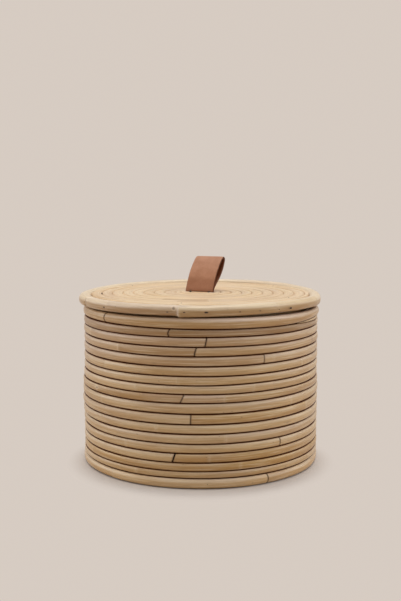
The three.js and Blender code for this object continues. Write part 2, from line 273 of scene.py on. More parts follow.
floor_finish = bpy.data.materials.new("floor")
ground = Recipe(floor_finish)
place = ground.add("ShaderNodeTexCoord", {}, {}, "Object")
away = ground.add("ShaderNodeVectorMath", {"operation": "DISTANCE"}, {0: place, 1: SHADOW_MIDDLE}, "Value")
seen = seen_directly(ground)
lit_color = ground.mix(seen, FLOOR_BOUNCE, FLOOR_LIT)
lit = ground.add("ShaderNodeBsdfDiffuse", {}, {"Color": lit_color})
plain = ground.add("ShaderNodeEmission", {}, {"Color": BACKDROP, "Strength": 1})
far = ground.fade(away, SHADOW_EDGE, SHADOW_END) * seen
surface = ground.add("ShaderNodeMixShader", {}, {0: far, 1: lit, 2: plain})
ground.add("ShaderNodeOutputMaterial", {}, {"Surface": surface})
floor_mesh.materials.append(floor_finish)
print("floor radius", FLOOR_RADIUS)

# %% [markdown]
# ## The cane finish
#
# Rattan is split into internodes by low ridges, and its fibres run along it. So the
# pattern has to follow each cane round its bend, and every vertex keeps the place
# that it had on the straight cane: how far along, how high and how deep. Long thin
# noise on that place gives the fibres, and broad noise gives the patches where the
# cane took more or less lacquer. Other numbers on the vertices say how near the next
# node and the next cut end are, and how dark its internode is. The finish starts from
# one colour between pale and deep and lays its marks over it as thin tints.
# Some tints are painted light: painted shade in the grooves between canes, on each cane's lower half and in
# front of the top wall hoops, and a painted highlight on the mouth hoop's upper half.

# %% Grains and tints of the cane
GRAINS = {
    # repeats in a metre along, across and through the cane, detail, roughness
    "patch": ((14, 90, 90), 3, 0.6),
    "streak": ((22, 760, 760), 3, 0.6),
    "fibre": ((60, 2600, 2600), 2, 0.6),
    "speck": ((220, 420, 420), 1, 0.5),
    "blush": ((9, 40, 40), 2, 0.5),
    "bruise": ((34, 160, 160), 3, 0.6),
}
TONE_SHARE = 0.6
PATCH_FADE = (0.36, 0.66)
PATCH_SHARE = 0.25
STREAK_FADE = (0.3, 0.7)
STREAK_SHARE = 0.3
DEPTH_FADE = (0.1, 1.1)
LOWER_HALF_SHADE_FADE = (0.6, -0.05)
GROOVE_SHADE_FADE = (0.79, 0.93)
# a tint is the start and the end of a fade, how much it covers there, and its colour
# tones above 1 darken further; in front of the top wall hoops that is partly painted shade under the lid
DARK_TINT = (0.9, 1.9, 0.6, srgb(140, 108, 76))
GOLDEN_TINT = (0.5, 0, 0.55, srgb(206, 166, 98))
PINK_TINT = (0.5, 1, 0.5, srgb(212, 188, 172))
BLUSH_TINT = (0.42, 0.66, 0.25, srgb(206, 182, 168))
BRUISE_TINT = (0.66, 0.78, 0.4, srgb(140, 112, 108))
PAINTED_HIGHLIGHT_TINT = (0.2, 0.75, 0.85, srgb(250, 230, 214))
STREAK_TINT = (0.52, 0.3, 0.4, srgb(240, 222, 192))
FIBRE_TINT = (0.48, 0.76, 0.34, srgb(128, 92, 56))
SPECK_TINT = (0.74, 0.8, 0.4, srgb(96, 62, 36))
NODE_BREAK = 0.001
NODE_BAND_TINT = (0.0030, 0, 0.4, srgb(242, 222, 190))
NODE_LINE_TINT = (0.0009, 0, 1, srgb(110, 76, 44))
END_REACH = 0.0016
SEAM_REACH = 0.0004
SEAM_SHARE = 0.6
PIT_SIDE = 0.0045
PIT_RING_TINT = (0.0030, 0.0018, 0.4, srgb(236, 214, 184))
PIT_CORE_TINT = (0.0018, 0.0006, 0.6, srgb(92, 66, 48))
BESIDE_GROOVE_SHADE_TINT = (0.74, 0.9, 0.4, srgb(134, 84, 40))
LEAST_ROUGHNESS = 0.38
PATCH_ROUGHNESS = 0.2
COAT_ROUGHNESS = 0.35
STREAK_RELIEF = 0.6
FIBRE_RELIEF = 0.4
CANE_RELIEF = 0.00012
CANE_SPECULAR = 0.15
print("grains:", ", ".join(GRAINS))


# %% The cane finish
def glossy_surface(recipe, color, roughness, height, depth, specular=0.35, coat=0.0):
    """The shader that every finish of the box ends in."""
    bump = recipe.add("ShaderNodeBump", {}, {"Strength": 1, "Distance": depth, "Height": height})
    inputs = {"Base Color": color, "Roughness": roughness, "Normal": bump, "Coat Weight": coat,
              "Coat Roughness": COAT_ROUGHNESS, "Specular IOR Level": specular}
    shader = recipe.add("ShaderNodeBsdfPrincipled", {}, inputs)
    recipe.add("ShaderNodeOutputMaterial", {}, {"Surface": shader})


def cane_finish(name, pale, deep, groove_shade_strength, painted_groove_shade=srgb(84, 30, 0), low=srgb(245, 232, 207),
                cut=srgb(92, 58, 32), seam=srgb(54, 30, 14), stain=0.5, ridge=0.4,
                pit_height=0.0006, coat=0.5):
    """Lacquered cane between a pale and a deep colour, with darker grooves.

    painted_groove_shade is the painted shade in the grooves, low is painted shade
    multiplied over the lower half, cut is the colour beside a cut end and seam the colour
    of its very edge. groove_shade_strength, stain and ridge are how strong the groove
    shade, the cut ends and the node lines show. pit_height is where the pits lie above
    the cane's middle, and coat how glossy the lacquer is.
    """
    material = bpy.data.materials.new(name)
    cane = Recipe(material)
    straight = cane.attribute("straight", "Vector")
    side, hidden, knot, end = [cane.attribute(word) for word in ("side", "hidden", "knot", "end")]
    pit, worn, tone, hue = [cane.attribute(word) for word in ("pit", "worn", "tone", "hue")]
    grain = {word: cane.noise(cane.scaled(straight, scales), detail, roughness)
             for word, (scales, detail, roughness) in GRAINS.items()}

    patches = cane.fade(grain["patch"], *PATCH_FADE) * PATCH_SHARE
    streaks = cane.fade(grain["streak"], *STREAK_FADE) * STREAK_SHARE
    depth = tone * TONE_SHARE + patches + streaks
    color = cane.mix(cane.fade(depth, *DEPTH_FADE), pale, deep)
    color = cane.tint(color, tone, DARK_TINT)
    color = cane.tint(color, hue, GOLDEN_TINT)
    color = cane.tint(color, hue, PINK_TINT)
    color = cane.tint(color, grain["blush"], BLUSH_TINT)
    color = cane.tint(color, grain["bruise"], BRUISE_TINT)
    # painted shade: the lower half of each cane is multiplied darker and warmer by the low colour
    color = cane.mix(cane.fade(side, *LOWER_HALF_SHADE_FADE), color, low, "MULTIPLY")
    # painted highlight: the upper half of the mouth hoop is lightened towards its right front
    color = cane.tint(color, side, PAINTED_HIGHLIGHT_TINT, worn)
    color = cane.tint(color, grain["streak"], STREAK_TINT)
    color = cane.tint(color, grain["fibre"], FIBRE_TINT)
    color = cane.tint(color, grain["speck"], SPECK_TINT)

    color = cane.tint(color, knot, NODE_BAND_TINT, ridge)
    color = cane.tint(color, knot + grain["streak"] * NODE_BREAK, NODE_LINE_TINT, ridge)
    color = cane.tint(color, end, (END_REACH, 0, stain, cut))
    cut_edge = cane.fade(end, SEAM_REACH, 0)
    color = cane.mix(cut_edge * SEAM_SHARE, color, seam)
    off_pit = side * PIT_SIDE - pit_height
    from_pit = (pit * pit + off_pit * off_pit) ** 0.5
    color = cane.tint(color, from_pit, PIT_RING_TINT)
    color = cane.tint(color, from_pit, PIT_CORE_TINT)
    # painted shade: the grooves between canes are darkened where the next cane hides the surface, with a
    # brown painted edge beside them
    color = cane.tint(color, hidden, BESIDE_GROOVE_SHADE_TINT, groove_shade_strength)
    groove_shade_share = cane.fade(hidden, *GROOVE_SHADE_FADE) * groove_shade_strength
    color = cane.mix(groove_shade_share, color, painted_groove_shade)

    gloss = (1 - groove_shade_share) * (1 - cut_edge) * coat
    roughness = grain["patch"] * PATCH_ROUGHNESS + LEAST_ROUGHNESS
    relief = grain["streak"] * STREAK_RELIEF + grain["fibre"] * FIBRE_RELIEF
    glossy_surface(cane, color, roughness, relief, CANE_RELIEF, CANE_SPECULAR, gloss)
    return material


# every finish paints shade in its grooves and over its canes' lower halves; the rim's painted underside
# shade is the darkest
FINISHES = {
    "cane_wall": cane_finish("cane_wall", srgb(226, 201, 167), srgb(192, 157, 114), 1, coat=0.7),
    "cane_foot": cane_finish("cane_foot", srgb(236, 210, 174), srgb(204, 168, 124), 1, coat=0.7),
    "cane_lid": cane_finish("cane_lid", srgb(240, 213, 174), srgb(214, 176, 126), 0.15,
                            painted_groove_shade=srgb(212, 174, 124), seam=srgb(170, 130, 84), coat=0.4),
    "cane_rim": cane_finish("cane_rim", srgb(242, 223, 192), srgb(222, 197, 160), 0.1,
                            painted_groove_shade=srgb(150, 108, 64), low=srgb(206, 182, 150), cut=srgb(252, 238, 220),
                            seam=srgb(176, 150, 140), stain=0.7, ridge=0.3, pit_height=0.0024, coat=0.75),
    "cane_inside": cane_finish("cane_inside", srgb(208, 176, 132), srgb(176, 138, 94), 0.8, coat=0.1),
}
print("cane finishes:", ", ".join(FINISHES))

# %% [markdown]
# ## Bending a cane
#
# A cane could be a curve with a bevel, but then its nodes and its cut ends can't be
# shaped. So a cane starts as a straight bar: a circle pushed towards a square,
# extruded once and then cut, so that a ring of vertices lies at each whole number.
# Then each ring gets a station: a place on the bend, a width and a height. Stations
# stand closer at nodes, which swell, and at cut ends, whose edges are rounded.

# %% A straight bar
CANE_STEP = 0.0025
RING_LEAST = 0.00008
MARK_DIGITS = 6
CANE_SIDES = 24
END_STEPS = (0, 0.0001, 0.0003, 0.0006, 0.001, 0.0016, 0.0024, 0.0034, 0.0046)
KNOT_STEPS = (-0.004, -0.0026, -0.0016, -0.0009, -0.0004, 0, 0.0004, 0.0009, 0.0016, 0.0026, 0.004)


def wobble(seed, size, waves=(2, 3, 5, 8)):
    """A smooth closed wave of a bearing in radians, never larger than its size."""
    draw = random.Random(seed)
    least = 0.3
    terms = [(wave, draw.uniform(0, 2 * math.pi), draw.uniform(least, 1)) for wave in waves]
    total = sum(share for _, _, share in terms)
    return lambda bearing: size * sum(
        share * math.sin(wave * bearing + phase) for wave, phase, share in terms) / total


def straight_bar(sides, squareness, rings):
    """A closed bar of unit section along +Z, with a ring of vertices at each whole number."""
    bar = bmesh.new()
    bmesh.ops.create_circle(bar, cap_ends=False, segments=sides, radius=1)
    for vert in bar.verts:
        reach = abs(vert.co.x) ** squareness + abs(vert.co.y) ** squareness
        vert.co *= reach ** (-1 / squareness)
    drawn = bmesh.ops.extrude_edge_only(bar, edges=bar.edges[:])
    far = [item for item in drawn["geom"] if isinstance(item, bmesh.types.BMVert)]
    bmesh.ops.translate(bar, verts=far, vec=(0, 0, rings - 1))
    mouths = [edge for edge in bar.edges if edge.is_boundary]
    bmesh.ops.holes_fill(bar, edges=mouths, sides=sides)
    long_edges = [edge for edge in bar.edges if edge.verts[0].co.z != edge.verts[1].co.z]
    bmesh.ops.subdivide_edges(bar, edges=long_edges, cuts=rings - 2, use_grid_fill=False)
    return bar


def marks_along(length, knots):
    """Where the rings of a cane stand, in metres from its first end."""
    count = math.ceil(length / CANE_STEP)
    marks = [step * length / count for step in range(count + 1)]
    marks += [step for step in END_STEPS] + [length - step for step in END_STEPS]
    marks += [knot + step for knot in knots for step in KNOT_STEPS]
    marks = sorted({round(mark, MARK_DIGITS) for mark in marks})
    marks = [mark for mark in marks if 0 <= mark <= length]
    return [mark for at, mark in enumerate(marks) if at == 0 or mark - marks[at - 1] > RING_LEAST]


print("a plain cane of 0.1 m has", len(marks_along(0.1, [])), "rings")


# %% One named piece
def piece(name, bars, body, slot, nodes):
    """Joins bars into one named object, attaches it to its body, and hides the parts that it stands for.

    A piece that stands for the node of its own name gets that name and _dressed.
    """
    whole = bmesh.new()
    for bar in bars:
        part = bpy.data.meshes.new(name)
        bar.to_mesh(part)
        bar.free()
        whole.from_mesh(part)
        bpy.data.meshes.remove(part)
    bmesh.ops.recalc_face_normals(whole, faces=whole.faces)
    for face in whole.faces:
        face.smooth = len(face.verts) <= 4
    mesh = bpy.data.meshes.new(name)
    whole.to_mesh(mesh)
    whole.free()
    mesh.materials.append(FINISHES[slot])
    made = bpy.data.objects.new(f"{name}_dressed" if name in nodes else name, mesh)
    bpy.context.scene.collection.objects.link(made)
    if body:
        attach(made, body)
    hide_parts(*nodes)
    return made


print("finishes that pieces can have:", len(FINISHES))

# %% Bending a bar along its stations
CLAMP = 0.01
PLAIN_LABELS = {"knot": CLAMP, "end": CLAMP, "pit": CLAMP, "worn": 0, "tone": 0.5, "hue": 0.5}
LABELS = ("side", "face", "hidden", *PLAIN_LABELS)
# how much of the painted groove shade the mouth hoop's top gets under the lid's rim
MOUTH_TOP_SHADE_SHARE = 0.865
TOUCHES = {
    # how hidden a vertex is by the next cane, where x is its depth and y its height; the finishes paint
    # groove shade where it is high
    "above and below": lambda x, y: abs(y),
    "below and a little above": lambda x, y: max(-y, MOUTH_TOP_SHADE_SHARE * y),
    "beside": lambda x, y: abs(x),
    "inside": lambda x, y: max(-x, 0),
    "nothing": lambda x, y: 0,
}


def on_ring(station, x, y):
    """The place of a vertex of a cane that is wound round the axis."""
    shift = station["lean"] * y + station["bow"] * (1 - y * y)
    bearing = station["bearing"] + shift / station["radius"]
    radius = station["radius"] + x * station["wide"] / 2
    return spot(bearing, radius, station["height"] + y * station["tall"] / 2)


def label_layers(shape):
    """The layers of a shape's vertices that the finishes read."""
    return (shape.verts.layers.float_vector.new("straight"),
            {word: shape.verts.layers.float.new(word) for word in LABELS})


def bend(bar, stations, place_of, touches="nothing"):
    """Moves the vertices of a straight bar to their stations and labels them."""
    straight, labels = label_layers(bar)
    for vert in bar.verts:
        station = stations[round(vert.co.z)]
        x, y = vert.co.x, vert.co.y
        vert[straight] = (station["along"], y * station["tall"] / 2, x * station["wide"] / 2)
        values = station | {"side": y, "face": x, "hidden": TOUCHES[touches](x, y)}
        for word, layer in labels.items():
            vert[layer] = values[word]
        vert.co = place_of(station, x, y)
    return bar


print("labels on a vertex:", ", ".join(LABELS))

# %% Winding a cane
# how much wider and taller a cane is at a node
KNOT_RISE = (0.00044, 0.0001)
KNOT_REACH = 0.0013
# what share of its size an end loses, and over what length
SAWN_END = (0.1, 0.0008)
SAMPLES_IN_TURN = 360
PLAIN_TONES = (0.1, 0.5)
PLAIN_HUES = (0.35, 0.65)
FIBRE_OFFSET = 50
UNEVEN = 0.012
UNEVEN_WAVES = (3, 7, 11, 17)
LEAN_HEIGHTS = 2


def rounded(distance, share, reach):
    """How much of its size a cane keeps near an end whose edge is rounded off."""
    left = 1 - min(distance / reach, 1)
    return 1 - share + share * math.sqrt(1 - left ** 2)


def plain_shades(draw, count):
    """Random shades of a number of internodes: how deep each one is, and its hue."""
    return [(draw.uniform(*PLAIN_TONES), draw.uniform(*PLAIN_HUES)) for _ in range(count)]


def nearest(mark, places):
    """The distance from a mark to the nearest place, at most the clamp."""
    return min([abs(mark - place) for place in places] + [CLAMP])


def wind(path, first, last, squareness, knots=(), seed=0, lean=0.0, bow=0.0, shades=None, pits=(),
         rise=KNOT_RISE, touches="above and below", first_end=SAWN_END, last_end=SAWN_END, worn=None):
    """A cane along a path from one count of turns to another.

    path gives the bearing in radians, the radius and the height of the cane's middle,
    and its width and height, at a number of turns. knots and pits are numbers of turns
    too. shades has one pair for each internode: how deep its colour is, and its hue,
    which is golden at 0 and pink at 1. lean and bow say how its cut ends slant and
    curve, and first_end and last_end how they are rounded. rise is how much wider and
    taller the cane is at a node. worn gives, for a bearing, how strong a
    painted highlight the upper half of the cane gets.
    """
    draw = random.Random(seed)
    turns = np.linspace(first, last, 1 + math.ceil(abs(last - first) * SAMPLES_IN_TURN))
    places = [path(turn) for turn in turns]
    lengths = [0]
    for here, ahead in zip(places, places[1:]):
        lengths.append(lengths[-1] + abs(ahead[0] - here[0]) * (here[1] + ahead[1]) / 2)
    knots = sorted(float(np.interp(knot, turns, lengths)) for knot in knots)
    pits = [float(np.interp(pit, turns, lengths)) for pit in pits]
    shades = shades or plain_shades(draw, len(knots) + 1)
    offset = draw.uniform(0, FIBRE_OFFSET)
    uneven = wobble(seed, UNEVEN, UNEVEN_WAVES)
    stations = []
    for mark in marks_along(lengths[-1], knots + pits):
        bearing, radius, height, wide, tall = path(float(np.interp(mark, lengths, turns)))
        to_end = min(mark, lengths[-1] - mark)
        tone, hue = shades[sum(knot < mark for knot in knots)]
        ridge = math.exp(-(nearest(mark, knots) / KNOT_REACH) ** 2)
        rounding = rounded(mark, *first_end) * rounded(lengths[-1] - mark, *last_end)
        fading = max(0, 1 - to_end / (LEAN_HEIGHTS * tall)) ** 2
        stations.append({
            "along": mark + offset,
            "bearing": bearing,
            "radius": radius,
            "height": height,
            "wide": wide * rounding * (1 + uneven(bearing)) + rise[0] * ridge,
            "tall": tall * rounding + rise[1] * ridge,
            "lean": lean * fading,
            "bow": bow * fading,
            "knot": nearest(mark, knots),
            "end": min(to_end, CLAMP),
            "pit": nearest(mark, pits),
            "worn": worn(bearing) if worn else 0,
            "tone": tone,
            "hue": hue,
        })
    bar = straight_bar(CANE_SIDES, squareness, len(stations))
    return bend(bar, stations, on_ring, touches)


print("canes have", CANE_SIDES, "sides and a ring every", CANE_STEP, "m")

# %% [markdown]
# ## The hoops of the wall
#
# Each hoop is one cane, closed with a cut joint. Neighbours share one wavy line, so
# that they follow each other closely and never cross. The joints are all cut by
# hand: some lean, some are rounded like a bracket, and the one of the third wall hoop
# has shrunk open. One table gives each hoop's joint and nodes, and another the shades
# of its internodes. A course is a hoop's number from the foot up, which is course 0.
#
# The mouth hoop stands out at its right front, where its upper half has a painted
# highlight. The lid hides its top, which gets less of the painted groove shade than the grooves.

# %% Joints, nodes and shades of the hoops
HOOPS = [
    # name, bearing of the joint, its lean in degrees, bow and gap, bearings of the nodes
    ("foot_hoop", 53.2, 0, 0.0012, 0.0002, (-22, 118, 215)),
    ("wall_hoop_01", 225, 12, 0, 0.0005, (-8, 84, 310)),
    ("wall_hoop_02", 104.6, 0, 0.001, 0.0005, (-40, 40, 190)),
    ("wall_hoop_03", 10.1, 17, 0, 0.0011, (25.8, 130, 262)),
    ("wall_hoop_04", 60.4, 0, 0.001, 0.0002, (-14, 170, 280)),
    ("wall_hoop_05", 175, -15, 0, 0.0005, (-52, 33, 110)),
    ("wall_hoop_06", 303.7, 0, 0, 0.0004, (2, 98, 220)),
    ("wall_hoop_07", 17.7, 2, 0, 0.0003, (80, 160, 300)),
    ("wall_hoop_08", 245, 14, 0, 0.0005, (67.5, 330, 160)),
    ("wall_hoop_09", 13.9, 25, 0, 0.0003, (32.7, 140, 325.6)),
    ("wall_hoop_10", 150, 0, 0, 0.0005, (46, 250, 352)),
    ("wall_hoop_11", 258, -12, 0, 0.0005, (92, 12, 315)),
    ("wall_hoop_12", 200, 0, 0, 0.0005, (332.9, 76, 130)),
    ("wall_hoop_13", 51.4, 0, 0, 0.0001, (56.5, 180, 298)),
    ("wall_hoop_14", 19.8, 14, -0.0004, 0.0005, (120, 240, 342)),
    ("wall_hoop_15", 24.2, 12, 0.0003, 0.0005, (88, 205, 318)),
    ("wall_hoop_16", 8.4, 8, -0.0014, 0.0006, (95, 155, 290)),
    ("mouth_hoop", 333.2, 2, -0.0012, 0.0005, (110, 200, 290)),
]
PITS = {"wall_hoop_09": (325.6,), "wall_hoop_12": (311,)}
SHADES = {
    # each internode from the joint: how deep its colour is, golden at 0 and pink at 1
    "foot_hoop": [(0.6, 0.4), (0.3, 0.5), (0.4, 0.5), (0.2, 0.5)],
    "wall_hoop_01": [(0.4, 0.4), (0.3, 0.3), (0.5, 0.3), (0.3, 0.4)],
    "wall_hoop_02": [(0.5, 0.2), (0.6, 0.1), (0.8, 0.1), (1.1, 0.0)],
    "wall_hoop_03": [(1.0, 0.0), (0.7, 0.2), (0.4, 0.4), (0.2, 0.5)],
    "wall_hoop_04": [(0.1, 0.6), (0.4, 0.5), (0.3, 0.4), (0.2, 0.4)],
    "wall_hoop_05": [(0.5, 0.5), (0.3, 0.5), (0.3, 0.7), (0.2, 0.8)],
    "wall_hoop_06": [(0.2, 0.6), (0.1, 0.5), (0.1, 0.7), (0.3, 0.5)],
    "wall_hoop_07": [(0.7, 0.2), (0.4, 0.4), (0.4, 0.5), (0.4, 0.7)],
    "wall_hoop_08": [(0.5, 0.5), (0.3, 0.6), (0.3, 0.6), (0.4, 0.5)],
    "wall_hoop_09": [(0.4, 1.0), (0.7, 0.5), (0.5, 0.5), (1.1, 0.4)],
    "wall_hoop_10": [(0.3, 0.5), (0.2, 0.6), (0.1, 0.6), (0.3, 0.5)],
    "wall_hoop_11": [(0.3, 0.5), (0.2, 0.5), (0.3, 0.4), (0.2, 0.4)],
    "wall_hoop_12": [(0.6, 0.4), (0.4, 0.5), (0.1, 0.6), (0.3, 0.5)],
    "wall_hoop_13": [(0.3, 0.8), (0.4, 0.8), (0.3, 0.6), (0.8, 0.8)],
    # in front, the darkest tones of wall hoops 14 to 16 and the mouth hoop are partly painted shade under
    # the lid's overhang
    "wall_hoop_14": [(0.6, 0.7), (0.4, 0.5), (0.5, 0.8), (1.2, 0.7)],
    "wall_hoop_15": [(0.7, 0.8), (0.2, 0.8), (0.5, 0.7), (1.0, 0.9)],
    "wall_hoop_16": [(1.6, 0.5), (0.4, 0.7), (0.7, 0.5), (1.5, 0.6)],
    "mouth_hoop": [(0.9, 0.45), (0.1, 0.6), (0.4, 0.5), (0.8, 0.6)],
}
print("joints:", len(HOOPS), "nodes:", sum(len(row[-1]) for row in HOOPS))

# %% The lines between the hoops
SEAT_GAP = 0.0003
HOOP_GAP = 0.00004
WAVE = 0.00018
WAVE_SEED = 40
# how much lines rise to the right, and how far some of them lie off their place
SAG_COURSES = (0, 4, 6, 11, 13, 15, 16)
SAG_RISES = (0.0002, 0.0005, 0.0007, 0.0006, 0.0002, 0, -0.0010)
LINE_LIFTS = {8: 0.0004, 15: 0.0003, 17: -0.0004}
RIGHT_LIFTS = {16: 0.0008, 17: -0.0012}
# how far courses stand out at the left and the right of the view
SWELL_COURSES = (4, 6, 7, 9, 10, 11, 17)
SWELL_LEFT = (0, 0.0003, 0.0009, 0.0009, 0, -0.0008, -0.0007)
SWELL_RIGHT = (0.0004, 0.0008, 0.0010, 0.0008, 0.0002, 0, 0)
MOUTH_BULGE = 0.0023
BULGE_BEARING = 48
BULGE_POWER = 3
# where the splint starts, is fully open, starts to close and ends, in degrees
SPLINT_START = 68
SPLINT_FULL = 94
SPLINT_FADE = 118
SPLINT_END = 150
SPLINT_UP = 0.0014
SPLINT_DOWN = 0.0020

tops = [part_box(row[0])[1].z for row in HOOPS]
waves = [wobble(WAVE_SEED + course, WAVE) for course in range(len(HOOPS))]


def to_right(bearing):
    """How far towards the right of the view a bearing in radians lies, from -1 to 1."""
    return math.sin(bearing - math.radians(CAMERA_BEARING))


def splint_share(bearing):
    """How far the splint beside the mouth hoop has opened at a bearing in radians."""
    degrees = math.degrees(bearing) % 360
    rise = min(max((degrees - SPLINT_START) / (SPLINT_FULL - SPLINT_START), 0), 1)
    fall = min(max((SPLINT_END - degrees) / (SPLINT_END - SPLINT_FADE), 0), 1)
    return min(rise, fall)


def swell(course, bearing):
    """How far a course bulges at the left and the right of the view."""
    across = to_right(bearing)
    sizes = SWELL_RIGHT if across > 0 else SWELL_LEFT
    return float(np.interp(course, SWELL_COURSES, sizes)) * across ** 2


def bulge_share(bearing):
    """How much of its bulge, towards its right front, the mouth hoop has at a bearing."""
    return max(0, math.cos(bearing - math.radians(BULGE_BEARING))) ** BULGE_POWER


def line_above(course, bearing):
    """The height of the line between a course and the next one."""
    if course < 0:
        return 0
    across = to_right(bearing)
    lift = LINE_LIFTS.get(course, 0) + RIGHT_LIFTS.get(course, 0) * max(0, across) ** 2
    if course == len(HOOPS) - 1:
        return tops[course] + HOOP_GAP / 2 + lift
    slope = float(np.interp(course, SAG_COURSES, SAG_RISES)) * across
    return tops[course] + SEAT_GAP / 2 + waves[course](bearing) + slope + lift


print("line over the foot hoop in front:", round(line_above(0, 0), 4))

# %% The hoops
SQUARE_WALL = 3.6
SQUARE_THICK = 2.6
OUT_OF_ROUND = 0.0005
ROUND_SEED = 80
HOOP_SEED = 100


def make_hoop(course):
    """One hoop of the wall, between the lines below and above its course."""
    name, joint, lean, bow, gap, knots = HOOPS[course]
    mouth = name == "mouth_hoop"
    thick = mouth or name == "foot_hoop"
    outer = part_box(name)[1].x
    depth = tops[course] - (tops[course - 1] + SEAT_GAP if course else 0)
    out = wobble(ROUND_SEED + course, OUT_OF_ROUND)

    def path(turn):
        bearing = math.radians(joint) + 2 * math.pi * turn
        low = line_above(course - 1, bearing) + HOOP_GAP / 2
        high = line_above(course, bearing) - HOOP_GAP / 2
        radius = outer - depth / 2 + out(bearing) + swell(course, bearing)
        if mouth:
            low += SPLINT_UP * splint_share(bearing)
            radius += MOUTH_BULGE * bulge_share(bearing)
        if name == "wall_hoop_16":
            high -= SPLINT_DOWN * splint_share(bearing)
        return bearing, radius, (low + high) / 2, depth, high - low

    half_gap = gap / (2 * math.pi * (outer - depth / 2)) / 2
    turns = sorted(((knot - joint) % 360) / 360 for knot in knots)
    lean_reach = math.tan(math.radians(lean)) * depth / 2
    bar = wind(path, half_gap, 1 - half_gap, SQUARE_THICK if thick else SQUARE_WALL, turns,
               seed=HOOP_SEED + course, lean=lean_reach, bow=bow, shades=SHADES[name],
               pits=[((pit - joint) % 360) / 360 for pit in PITS.get(name, ())],
               touches="below and a little above" if mouth else "above and below",
               worn=bulge_share if mouth else None)
    slot = "cane_foot" if name == "foot_hoop" else "cane_wall"
    return piece(name, [bar], "basket", slot, [name])


hoops = [make_hoop(course) for course in range(len(HOOPS))]
print("hoops:", len(hoops), "faces in one:", len(hoops[1].data.polygons))

# %% [markdown]
# ## The splint at the mouth
#
# On the right a thin tapered splint fills the line under the mouth hoop, where a
# scarfed end was glued over. It is a cane of its own that grows from nothing and
# fades out again, and its two neighbours already make room for it.

# %% The splint
SPLINT_LEAST = 0.16
SPLINT_WIDE = 0.0075
SPLINT_SINK = 0.0002
SPLINT_SEED = 7


def splint_path(turn):
    """The path of the splint, which fills what its two neighbours leave free."""
    bearing = 2 * math.pi * turn
    share = splint_share(bearing)
    line = line_above(len(HOOPS) - 2, bearing)
    low = line - SPLINT_DOWN * share + HOOP_GAP / 2
    high = line + SPLINT_UP * share - HOOP_GAP / 2
    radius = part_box("wall_hoop_16")[1].x - SPLINT_WIDE / 2 - SPLINT_SINK
    return bearing, radius, (low + high) / 2, SPLINT_WIDE, high - low


splint_first = (SPLINT_START + SPLINT_LEAST * (SPLINT_FULL - SPLINT_START)) / 360
splint_last = (SPLINT_END - SPLINT_LEAST * (SPLINT_END - SPLINT_FADE)) / 360
splint = wind(splint_path, splint_first, splint_last, SQUARE_WALL, seed=SPLINT_SEED)
piece("mouth_splint", [splint], "basket", "cane_wall", [])
print("splint from", SPLINT_START, "to", SPLINT_END, "degrees")

# %% [markdown]
# ## The size of the rim
#
# The rim is made later, but the coil of the lid has to fill it, so its size at each
# bearing comes first. The longer cane starts with a node, so it is swollen there, and
# farther right it stands clear of the mouth. The shorter cane is thinner. So each has
# its own table of how much it rises and thickens. In front both canes are oval, and
# their top drops until it is flush with the coil.

# %% The size of the rim
RIM_LEFT_JOINT = 315.5
RIM_RIGHT_JOINT = 12.3
RIM_SHIFT = 0.0006
RIM_SINK = 0.0002
RIM_WAVE = 0.0002
RIM_WAVE_SEED = 32
RIM_LONG_SHAPE = [
    # bearing, rise of the middle, extra thickness
    (12.3, 0, 0.0008), (15, 0, 0.0004), (20, 0, 0), (30, 0.0003, -0.0005), (60, 0.0006, -0.0011),
    (85, 0.0004, -0.0008), (100, -0.0004, -0.0006), (130, 0.0006, 0), (175, 0.0013, 0), (215, 0.0006, 0),
    (250, 0.0002, 0), (280, -0.0006, -0.0002), (300, 0, -0.0002), (315.5, 0.0004, -0.0006),
]
RIM_SHORT_SHAPE = [
    (315.5, 0.0005, -0.0004), (345, 0.0006, -0.0008), (370, 0.0007, -0.0009), (372.3, 0.0004, -0.0004),
]
# how much lower the top of the rim is at some bearings
DROP_BEARINGS = (0, 10, 14, 25, 35, 50, 65, 80, 112, 140, 150, 165, 215, 235, 262, 292, 328, 345, 360)
DROPS = (0.0013, 0.0013, 0.0019, 0.0020, 0.0017, 0.0013, 0.0013, 0.0015, 0.0014, 0.0010, 0.0002, 0, 0,
         0.0005, 0.0010, 0.0013, 0.0016, 0.0015, 0.0013)

rim_low, rim_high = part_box("lid_rim_long")
short_low, short_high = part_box("lid_rim_short")
rim_out = wobble(RIM_WAVE_SEED, RIM_WAVE, (2, 3, 5))


def rim_section(degrees):
    """The middle radius and height of the rim, and how wide and how tall it is."""
    short = RIM_LEFT_JOINT <= degrees % 360 or degrees % 360 < RIM_RIGHT_JOINT
    low, high = (short_low, short_high) if short else (rim_low, rim_high)
    table = RIM_SHORT_SHAPE if short else RIM_LONG_SHAPE
    bearings, rises, extras = zip(*table)
    at = degrees % 360 + (360 if short and degrees % 360 < RIM_RIGHT_JOINT else 0)
    thick = high.z - low.z + float(np.interp(at, bearings, extras))
    bearing = math.radians(degrees)
    shift = RIM_SHIFT * to_right(bearing)
    radius = rim_high.x - (rim_high.z - rim_low.z) / 2 + rim_out(bearing) - shift - RIM_SINK
    height = (low.z + high.z) / 2 + float(np.interp(at, bearings, rises))
    drop = float(np.interp(degrees % 360, DROP_BEARINGS, DROPS))
    return radius, height - drop / 2, thick, thick - drop


def rim_inside(bearing):
    """The inner radius of the rim at a bearing in radians."""
    radius, _, wide, _ = rim_section(math.degrees(bearing))
    return radius - wide / 2


print("rim height in front:", round(rim_section(0)[3], 4))
print("rim height at the back:", round(rim_section(200)[3], 4))

# %% [markdown]
# ## The floor and the lid: flat coils
#
# Both are one cane wound flat. The first turn swells from a thin tip against the eye
# and the last one thins out against the border, so both edges are round although the
# cane is a spiral. Its bearing falls as it grows, because it winds clockwise. A node
# stands about every 21 cm of cane, and a few short dark internodes are listed.

